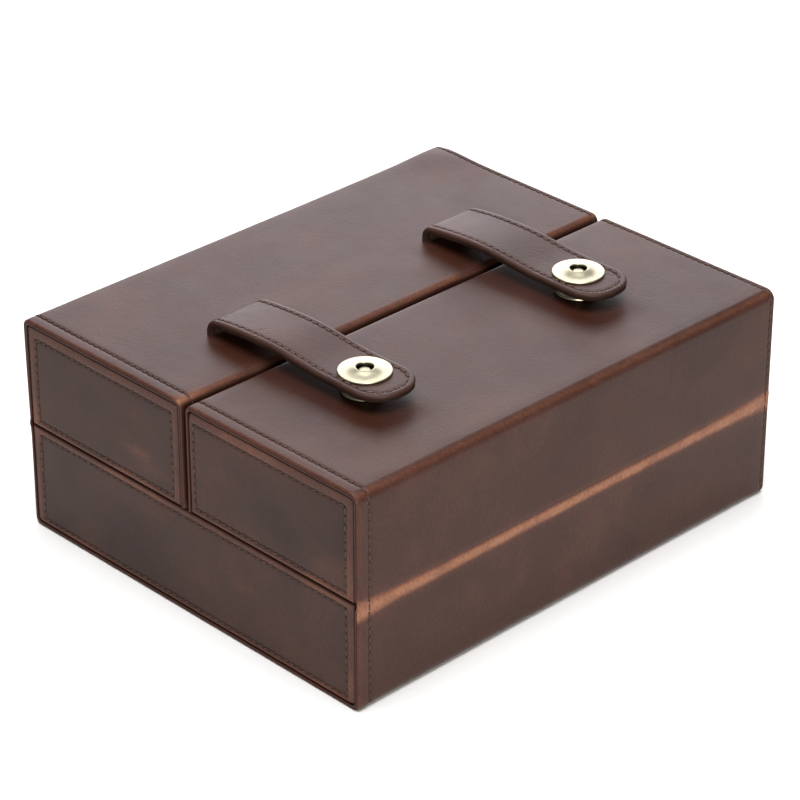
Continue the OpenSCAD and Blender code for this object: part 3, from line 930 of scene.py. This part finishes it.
def strap_frame(u):
    """Point of the outer face and its normal at u, which is X past the bend and length before it."""
    if u >= MEET_X:
        slope = strap_rise(u + 0.5) - strap_rise(u - 0.5)
        size = hypot(1, slope)
        return u, strap_rise(u), -slope / size, 1 / size
    back = MEET_X - u
    if back <= ARC_L:
        a = BEND_END + back / BEND_R
        return BEND_CX + BEND_R * cos(a), BEND_CZ + BEND_R * sin(a), cos(a), sin(a)
    return ROOT_X, BEND_CZ - (back - ARC_L), -1.0, 0.0


def strap_inside(u, v):
    """Distance of a strap point from its outline: u along, v from the middle."""
    half = STRAP_W / 2
    a, b = u - (TIP_X - TIP_R), abs(v) - (half - TIP_R)
    if a > 0 and b > 0:
        return TIP_R - hypot(a, b)
    return min(half - abs(v), TIP_X - u)


def strap_plan(inset):
    """Plan grid of a strap, u along and v across, with a rounded tip."""
    half = STRAP_W / 2 - inset
    tip, r = TIP_X - inset, TIP_R - inset
    along = steps(BEND_U - BEND_CZ - ROOT_DEPTH, BEND_U, 2) + steps(BEND_U, MEET_X, 0.9)
    along += steps(MEET_X, SNAP_X - 5, 2.5) + steps(SNAP_X - 5, SNAP_X + 5, 0.6)
    along += steps(SNAP_X + 5, tip - r, 1.5)
    along += [tip - r + r * sin(a) for a in fan(0, 85, 17)] + [tip - 0.012]
    across = [0, 0.1, 0.26, 0.5, 0.8, 1.4, 1.9, 2.3, 2.55, 2.8, 3.1, 3.5, 4.2]
    share = [-1 + d / half for d in across]
    share += [k / 15 for k in range(-8, 9)] + [-s for s in reversed(share)]
    rows = []
    for u in along:
        a = u - (tip - r)
        width = half if a <= 0 else half - r + sqrt(max(0, r * r - a * a))
        rows.append([(u, s * width) for s in share])
    return rows


def strap_stitch_line():
    """The stitch line as u and v, up one side and down the other."""
    half = STRAP_W / 2 - STRAP_STITCH_IN
    tip, r = TIP_X - STRAP_STITCH_IN, TIP_R - STRAP_STITCH_IN
    line = [(u, -half) for u in steps(BEND_U - 1, tip - r, 2)]
    line += [(tip - r + r * sin(a), -half + r - r * cos(a)) for a in fan(0, 90, 8)]
    return line + [(u, -v) for u, v in reversed(line)]


def strap_piece(which, sign):
    """Outer leather, lining leather and the stitches on both faces, all shaped over the root bend and down
    into the slot.
    """
    y_mid = sign * STRAP_Y

    def place(u, v, depth):
        x, z, nx, nz = strap_frame(u)
        return x - nx * depth, y_mid + v, TOP_Z + z - nz * depth

    def top(u, v):
        s = strap_inside(u, v)
        from_snap = hypot(u - SNAP_X, v)
        pit = (OUTER_T - 0.06) * smooth((CAP_SEAT_R - from_snap) / 0.6)
        dip = 0.14 * bump(from_snap, 0, 11)
        lump = 0.07 * wave(u, y_mid + v, 0, 14, 7.7)
        cup = 0.10 * smooth(s / 2) * bump(s, 1.5, 1.0)
        drop = round_drop(s, STRAP_EDGE_R) + GROOVE_D * bump(s, STRAP_STITCH_IN, 0.45)
        return drop + dip - lump - cup + pit

    def face(depth, r, down):
        """A flat face at a depth, with an edge rounded by r: down is 1 or -1."""
        return lambda u, v: depth + down * round_drop(strap_inside(u, v), r)

    def wear_and_shade(u, v):
        s = strap_inside(u, v)
        patch = cloud(u, y_mid + v, 3, 12, 3.3)
        bend = bump(u, MEET_X - ARC_L / 2, 5)
        worn = 0.04 + 0.10 * patch * bump(s, 1.6, 1.2) + 0.10 * bend * patch
        return worn - 0.12 * smooth(1 - s / 0.25)

    def sewn(label, depth, facing, material):
        """Stitches along the strap's edge at a depth below its outer face."""
        run = []
        for u, v in strap_stitch_line():
            nx, nz = strap_frame(u)[2:]
            run.append((place(u, v, depth), (facing * nx, 0, facing * nz)))
        obj = stitches(which + label, run, STRAP_PITCH, STRAP_THREAD_R)
        dress(obj, None, material)
        return obj

    outer = slab(which + "_strap", strap_plan(0), top, face(OUTER_T, 0.2, -1), place, wear_and_shade)
    dress(outer, None, STRAP_LEATHER, (which + "_strap_leather", which + "_strap_root"))
    hidden, under = face(OUTER_T + 0.01, 0.2, 1), face(STRAP_T, 0.75, -1)
    inner = slab(which + "_strap_lining", strap_plan(LINING_INSET), hidden, under, place)
    dress(inner, None, BACKING_LEATHER, (which + "_strap_backing",))
    line = sewn("_strap_stitching", GROOVE_D - 0.10, 1, STRAP_THREAD)
    under_line = sewn("_strap_under_stitching", STRAP_T - 0.14, -1, THREAD)
    for obj in (outer, inner, line, under_line):
        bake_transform(obj)


# ---------------- snaps

def arc_profile(cr, cz, r, a0, a1, n=6):
    """Points of a rounded corner on a turned profile."""
    return [(cr + r * cos(a), cz + r * sin(a)) for a in fan(a0, a1, n)]


def snap_cap(which, sign):
    """Flanged cap: rolled rim, a rise to the middle, and a domed post standing in a hole, whose wall and the
    post's foot are painted dark as the shade inside it.
    """
    r = (CAP_HI[0] - CAP_LO[0]) / 2
    rim = 0.40
    seat = 0.02
    body = [(0, -1.38), (3.4, -1.38), (3.4, 0.0), (r - 1.3, 0.0)]
    body += arc_profile(r - rim, rim + seat, rim, -70, 100)
    body += [(r - 1.2, 0.86), (r - 2.2, 0.93), (6.6, 1.12), (5.5, 1.40), (4.5, 1.78)]
    body += arc_profile(3.50, 1.72, 0.34, 72, 180)
    hole = [(3.14, 1.5), (3.05, -0.6), (2.5, -0.7)]
    post = [(2.35, -0.5), (2.32, 0.1)] + arc_profile(1.62, 0.20, 0.70, 8, 82, 5) + [(0, 0.96)]
    # painted shade inside the hole: its wall and the post's foot
    dark = [0.0] * len(body) + [-1.0] * len(hole) + [-0.9, -0.1] + [0.0] * (len(post) - 2)
    centre = (SNAP_X, sign * STRAP_Y, TOP_Z + SNAP_Z + seat)
    obj = lathe(which + "_cap", body + hole + post, centre, wear_and_shade=dark)
    dress(obj, which + "_strap", CAP_BRASS, (which + "_snap_cap",))


def snap_socket(which, sign):
    """Ring socket under the strap, with rolled lips at both ends."""
    low, high = box_mm(which + "_snap_socket")
    r, tall, bore, lip = (high[0] - low[0]) / 2, high[2] - low[2], 3.0, 0.4
    profile = [(bore, tall - 0.3)] + arc_profile(bore + lip, lip, lip, 180, 270, 5)
    profile += arc_profile(r - 2.2, lip, lip, 270, 360, 5) + [(r - 1.8, tall - 1.0)]
    profile += arc_profile(r - 0.35, tall - 0.45, 0.35, -60, 90)
    profile += [(bore + 0.2, tall - 0.1), (bore, tall - 0.3)]
    obj = lathe(which + "_socket", profile, (SNAP_X, sign * STRAP_Y, low[2]), 72)
    dress(obj, which + "_strap", CAP_BRASS, (which + "_snap_socket",))


def snap_stud(which, sign):
    """Stud on the right tray: a wide flange with a rolled rim, a neck and a bulged head. The flange's top
    between the rim and the neck is painted dark as the strap's shadow.
    """
    r = (STUD_HI[0] - STUD_LO[0]) / 2
    head = STUD_HI[2] - TOP_Z
    profile = [(0, -2.0), (1.6, -2.0), (1.6, 0.0)]
    profile += [(r - 0.3, 0.02), (r - 0.06, 0.08), (r, 0.17), (r - 0.16, 0.64)]
    profile += arc_profile(r - 0.44, 0.56, 0.26, 20, 95, 4)
    profile += [(r - 1.2, 0.72), (r - 2.6, 0.66), (3.0, 0.80), (2.1, 1.0), (1.8, 1.3), (1.8, head - 1.6)]
    profile += arc_profile(1.75, head - 0.6, 0.55, -50, 80) + [(0.9, head - 0.02), (0, head)]
    # painted shadow of the strap on the flange's top, between its rim and the neck
    dark = [-0.75 if 1.9 < radius < r - 1.0 and 0.1 < height < 1.1 else 0.0 for radius, height in profile]
    return lathe(which + "_stud", profile, (SNAP_X, sign * STRAP_Y, TOP_Z), wear_and_shade=dark)


# ---------------- linings, rims and dividers

LINING_T = 1.0
LINING_SOFT_R = 2.2
LINING_CORNER_R = 0.8
TRIM_R = 0.5
DIVIDER_R = 1.2
CROSS_DIVIDER_T = 3.4


def plan_box(low, high, inset=0.0):
    """The plan of a box as x0, x1, y0, y1, drawn in by inset."""
    return low[0] + inset, high[0] - inset, low[1] + inset, high[1] - inset


def corner_ring(plan, inset, r, z):
    """A rounded rectangle at a height: plan is x0, x1, y0, y1, and inset draws its sides in."""
    x0, x1, y0, y1 = plan[0] + inset, plan[1] - inset, plan[2] + inset, plan[3] - inset
    out = []
    centres = ((x1 - r, y1 - r), (x0 + r, y1 - r), (x0 + r, y0 + r), (x1 - r, y0 + r))
    for quadrant, (cx, cy) in enumerate(centres):
        angles = fan(90 * quadrant, 90 * quadrant + 90, 5)
        out += [(cx + r * cos(a), cy + r * sin(a), z) for a in angles]
    return out


def quarter(r, n):
    """A rounded edge in n steps, as distances from its two faces: one grows from 0 to r, the other falls."""
    return [(r * (1 - cos(a)), r * (1 - sin(a))) for a in fan(0, 90, n)]


def lining(name, body, clear, floor_z, rim_z):
    """A suede tray. clear is the open space, as x0, x1, y0, y1; it may face up or down."""
    low, high = box_mm(name)
    up = 1 if rim_z > floor_z else -1
    rings = [corner_ring(plan_box(low, high), 0, 0.3, z) for z in (low[2] if up > 0 else high[2], rim_z)]
    rings.append(corner_ring(clear, 0, LINING_CORNER_R, rim_z))
    for inset, lift in quarter(LINING_SOFT_R, 5):
        corner_r = LINING_CORNER_R + LINING_SOFT_R - inset * 0.5
        rings.append(corner_ring(clear, inset, corner_r, floor_z + up * lift))
    dress(loft(name + "_suede", rings), body, SUEDE, (name,))


def rim_trim(name, body, clear, face_up):
    """Folded leather edging round a tray's mouth, with a soft inner and outer edge."""
    low, high = box_mm(name)
    outline = plan_box(low, high)
    face, foot, up = (high[2], low[2], 1) if face_up else (low[2], high[2], -1)
    rings = [corner_ring(outline, 0, 1.6, foot)]
    rings += [corner_ring(outline, d, 1.6, face - up * fall) for d, fall in quarter(TRIM_R, 3)]
    rings += [corner_ring(clear, -d, 1.0, face - up * fall) for fall, d in quarter(TRIM_R, 3)]
    rings.append(corner_ring(clear, 0, 1.0, foot))
    # paler over the top
    wear_and_shade = [0.22 if 2 < number < 7 else 0.1 for number, ring in enumerate(rings) for _ in ring]
    dress(loft(name + "_edging", rings, closed=True, wear_and_shade=wear_and_shade), body, LEATHER, (name,))


def soft_block(name, low, high, r):
    """A block with all its edges rounded by r."""
    arc = quarter(r, 4)
    rings = []
    for z, up, half in ((low[2], -1, arc), (high[2], 1, arc[::-1])):
        rings += [corner_ring(plan_box(low, high), d, max(0.15, r - d), z - up * fall) for fall, d in half]
    return loft(name, rings)


def base_interior(clear):
    low, high = box_mm("base_lining")
    lining("base_lining", "base", clear, low[2] + LINING_T, high[2])
    rim_trim("base_rim_trim", "base", clear, True)
    wall = soft_block("long_divider_suede", *box_mm("base_long_divider"), DIVIDER_R)
    dress(wall, "base", SUEDE, ("base_long_divider",))
    low, high = box_mm("base_cross_dividers")
    walls = []
    for k, y in enumerate((low[1], high[1] - CROSS_DIVIDER_T)):
        corners = (low[0], y, low[2]), (high[0], y + CROSS_DIVIDER_T, high[2])
        walls.append(soft_block(f"cross_divider_{k}", *corners, DIVIDER_R))
    dress(join(walls, "cross_dividers_suede"), "base", SUEDE, ("base_cross_dividers",))


# ---------------- padded pieces

ROLL_COUNT = 16
ROLL_SIDES = 20
ROLL_SQUEEZE = 0.94
ROLL_TURN = 0.9
# a roll's rounded end: distance from the end, and radius as a share of the full one
ROLL_END = ((0.0, 0.55), (0.5, 0.80), (1.6, 0.95), (3.2, 1.0))
BAR_INSET = 0.3
CLOTH_FRAMES = 20
CLOTH = {
    "quality": 6, "use_pressure": True, "uniform_pressure_force": 4.0,
    "tension_stiffness": 12, "compression_stiffness": 12, "bending_stiffness": 0.4}


def inflate(obj, voxel, cap):
    """Swells a closed shape by cloth simulation, with no point moved further than cap mm."""
    make_active(obj)
    remesh = obj.modifiers.new("remesh", "REMESH")
    remesh.mode = "VOXEL"
    remesh.voxel_size = voxel * MM
    remesh.use_smooth_shade = True
    bpy.ops.object.modifier_apply(modifier="remesh")
    before = [v.co.copy() for v in obj.data.vertices]
    cloth = obj.modifiers.new("cloth", "CLOTH")
    for key, value in CLOTH.items():
        setattr(cloth.settings, key, value)
    cloth.settings.effector_weights.gravity = 0
    cloth.point_cache.frame_start = 1
    cloth.point_cache.frame_end = CLOTH_FRAMES
    for number in range(1, CLOTH_FRAMES + 1):
        bpy.context.scene.frame_set(number)
    swollen = obj.evaluated_get(bpy.context.evaluated_depsgraph_get())
    after = [v.co.copy() for v in swollen.to_mesh().vertices]
    swollen.to_mesh_clear()
    obj.modifiers.remove(cloth)
    bpy.context.scene.frame_set(1)
    for vertex, a, b in zip(obj.data.vertices, before, after):
        move = b - a
        if move.length > cap * MM:
            move = move.normalized() * cap * MM
        vertex.co = a + move


def one_roll(name, x0, x1, r):
    """A closed roll along X, of radius r. Its ends are rounded, and it is swollen by simulation."""
    spots = [(x0 + d, share) for d, share in ROLL_END]
    spots += [(x, 1.0) for x in steps(x0 + 6, x1 - 6, 4)]
    spots += [(x1 - d, share) for d, share in reversed(ROLL_END)]
    rings = []
    for x, share in spots:
        size = r * ROLL_SQUEEZE * share
        rings.append([(x, size * cos(a), size * sin(a)) for a in around(ROLL_SIDES)])
    roll = loft(name, rings, sharp=80)
    inflate(roll, 1.3, 0.35)
    return roll


def ring_rolls(name, node, bed, body):
    """A bed of suede rolls on foam. One roll is repeated, each turned a little."""
    low, high = box_mm(node)
    bed_low, bed_high = box_mm(bed)
    pitch = (bed_high[1] - bed_low[1]) / ROLL_COUNT
    r = (high[2] - low[2]) / 2
    z = (high[2] + low[2]) / 2
    roll = one_roll(name + "_roll", low[0], high[0], r)
    points, faces = [], []
    for k in range(ROLL_COUNT):
        first = len(points)
        c, s = cos(ROLL_TURN * k), sin(ROLL_TURN * k)
        y_mid = bed_low[1] + pitch * (k + 0.5)
        for vertex in roll.data.vertices:
            x, y, w = (part / MM for part in vertex.co)
            ny, nz = y * c - w * s, y * s + w * c
            reach = hypot(ny, nz)
            fit = min(1.0, (r - 0.02) / reach) if reach > 0 else 1.0
            points.append((x, y_mid + ny * fit, z + nz * fit))
        faces += [tuple(first + v for v in polygon.vertices) for polygon in roll.data.polygons]
    bpy.data.objects.remove(roll)
    obj = make_mesh(name, points, faces, None, 80)
    dress(obj, body, ROLL_SUEDE, (node,))
    block = soft_block(name + "_bed", bed_low, bed_high, 0.8)
    dress(block, body, FOAM, (bed,))


def necklace_bar():
    low, high = box_mm("necklace_bar")
    low = [c + BAR_INSET for c in low]
    high = [high[0] - BAR_INSET, high[1] - BAR_INSET, high[2]]
    bar = soft_block("necklace_bar_pad", low, high, 2.0)
    inflate(bar, 1.6, 0.3)
    smooth_mesh(bar)
    dress(bar, "right_lid", ROLL_SUEDE, ("necklace_bar",))


def smooth_mesh(obj):
    """Smooth shading, and the rest place stored again after a remesh."""
    for polygon in obj.data.polygons:
        polygon.use_smooth = True
    for key in ("rest", "wear_and_shade"):
        old = obj.data.attributes.get(key)
        if old:
            obj.data.attributes.remove(old)
    keep_rest(obj.data)


# ---------------- chain pocket

POCKET_T = 0.7
POCKET_CLEAR = 1.2
POCKET_PLEATS = 11
HEM_IN = 1.2
HEM_R = (1.3, 1.1)


def chain_pocket():
    """A gathered suede pocket with an elastic hem, open towards the necklace bar."""
    low, high = box_mm("chain_pocket")
    x0, x1, y0, y1 = plan_box(low, high)
    floor = high[2]
    belly = high[2] - low[2] - POCKET_CLEAR
    us = [x0 + (x1 - x0) * k / 90 for k in range(91)]
    vs = [y0 + (y1 - y0) * k / 36 for k in range(37)]
    plan = [[(x, y) for y in vs] for x in us]

    def rise(x, y):
        """The inner face's distance from the floor: a belly, fullest at the mouth, with pleats."""
        a = (x - x0) / (x1 - x0)
        b = (y - y0) / (y1 - y0)
        dome = sin(pi * a) ** 0.35 * smooth(b / 0.45) * (0.85 + 0.15 * b)
        pleats = sin(a * pi * 2 * POCKET_PLEATS + 1.5 * wave(x, y, 0, 18, 2.6))
        pleat = 0.12 * pleats * smooth((b - 0.25) / 0.5) + 0.06 * wave(x, y, 0, 7, 4.1)
        return belly * max(0.02, dome * (0.82 + pleat))

    def outer_rise(x, y):
        return rise(x, y) + POCKET_T

    def place(x, y, depth):
        return x, y, floor - depth

    obj = slab("chain_pocket_suede", plan, outer_rise, rise, place, sharp=60)
    dress(obj, "right_lid", POCKET_SUEDE, ("chain_pocket",))
    hem_rings = []
    for x in us[1:-1]:
        y, z = y1 - HEM_IN, floor - max(1.4, rise(x, y1) + POCKET_T / 2)
        hem_rings.append([(x, y + HEM_R[0] * cos(a), z + HEM_R[1] * sin(a)) for a in around(10)])
    hem = loft("pocket_elastic_hem", hem_rings, sharp=80)
    dress(hem, "right_lid", POCKET_SUEDE)
    area = sheet_area(plan, rise)


def sheet_area(plan, rise):
    """Area in square metres of the surface over a plan grid."""
    total = 0.0
    for i in range(len(plan) - 1):
        for j in range(len(plan[0]) - 1):
            a, b, c = plan[i][j], plan[i + 1][j], plan[i][j + 1]
            p, q, s = (Vector((x * MM, y * MM, rise(x, y) * MM)) for x, y in (a, b, c))
            total += (q - p).cross(s - p).length
    return total


# ---------------- build

def trays_interior():
    low, high = box_mm("right_lining")
    x0, x1, y0, y1 = plan_box(low, high, LINING_T)
    for tray, clear in (("left", (-x1, -x0, y0, y1)), ("right", (x0, x1, y0, y1))):
        lining(tray + "_lining", tray + "_lid", clear, high[2] - LINING_T, low[2])
        rim_trim(tray + "_rim_trim", tray + "_lid", clear, False)


def dress_cad_nodes():
    """Materials for the CAD nodes that no visual piece replaces: boards, hooks and washers."""
    looks = (("board", BOARD), ("hook", HOOK_BRASS), ("snap", CAP_BRASS), ("stud", CAP_BRASS))
    for name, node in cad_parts.items():
        found = [look for word, look in looks if word in name]
        if found:
            node.data.materials.clear()
            node.data.materials.append(found[0])


for side in (-1, 1):
    wrap_piece(side)
all_end_panels()
for sign, which in ENDS:
    strap_piece(which, sign)
    snap_cap(which, sign)
    snap_socket(which, sign)
studs = [snap_stud(which, sign) for sign, which in ENDS]
dress(join(studs, "snap_stud_pair"), "right_lid", CAP_BRASS, ("snap_studs",))
base_interior(plan_box(*box_mm("base_lining"), LINING_T))
trays_interior()
ring_rolls("base_rolls", "base_ring_rolls", "base_ring_bed", "base")
ring_rolls("left_rolls", "left_ring_rolls", "left_ring_bed", "left_lid")
necklace_bar()
chain_pocket()
dress_cad_nodes()


# ---------------- stage, light and camera

FLOOR_HALF = 6.0

# name, place, aim, size, power and colour of each lamp
LAMPS = (
    ("overhead", (0.10, -0.15, 1.30), (0, 0, 0.05), 1.2, 24, (1, 1, 1)),
    ("back_left", (-0.90, 0.88, 0.58), (0, 0, 0.08), 1.1, 10.2, (1.0, 0.95, 1.0)),
    ("low_fill", (1.30, -0.85, 0.26), (0, 0, 0.05), 0.6, 15.0, (1.0, 0.93, 0.84)),
)
WORLD_STRENGTH = 0.20

# the view's direction in degrees, and the camera's place along it, to the right and up, in metres
AZIMUTH = 45.84
ELEVATION = 29.25
CAMERA_BACK = 1.2666
CAMERA_RIGHT = -0.0009
CAMERA_UP = 0.0404


def make_stage():
    look = Look("pale_floor")
    look.shade({"Base Color": grey(0.96), "Roughness": 0.9, "Specular IOR Level": 0.1})
    corners = [(x * FLOOR_HALF, y * FLOOR_HALF, 0) for x, y in ((-1, -1), (1, -1), (1, 1), (-1, 1))]
    mesh = bpy.data.meshes.new("floor")
    mesh.from_pydata(corners, [], [(0, 1, 2, 3)])
    mesh.materials.append(look.material)
    floor = bpy.data.objects.new("floor", mesh)
    into_scene(floor)


def area_light(name, place, aim, size, power, colour):
    data = bpy.data.lights.new(name, "AREA")
    data.shape = "DISK"
    data.size = size
    data.energy = power
    data.color = colour
    light = bpy.data.objects.new(name, data)
    light.location = place
    light.rotation_euler = (Vector(aim) - Vector(place)).to_track_quat("-Z", "Y").to_euler()
    into_scene(light)


def make_light():
    world = bpy.data.worlds.new("studio")
    world.use_nodes = True
    background = world.node_tree.nodes["Background"]
    background.inputs["Color"].default_value = (1.0, 1.0, 1.0, 1)
    background.inputs["Strength"].default_value = WORLD_STRENGTH
    bpy.context.scene.world = world
    for lamp in LAMPS:
        area_light(*lamp)


def make_camera():
    """The camera looks along the direction of the view, with the case left of and below its axis."""
    azimuth, elevation = radians(AZIMUTH), radians(ELEVATION)
    level = cos(elevation)
    back = Vector((sin(azimuth) * level, -cos(azimuth) * level, sin(elevation)))
    right = (-back).cross(Vector((0, 0, 1))).normalized()
    up = right.cross(-back)
    data = bpy.data.cameras.new("camera")
    data.sensor_width = 36
    data.lens = 150.6
    camera = bpy.data.objects.new("camera", data)
    camera.location = back * CAMERA_BACK + right * CAMERA_RIGHT + up * CAMERA_UP
    camera.rotation_euler = (-back).to_track_quat("-Z", "Y").to_euler()
    into_scene(camera)
    bpy.context.scene.camera = camera


make_stage()
make_light()
make_camera()
bpy.context.scene.view_settings.view_transform = "Standard"
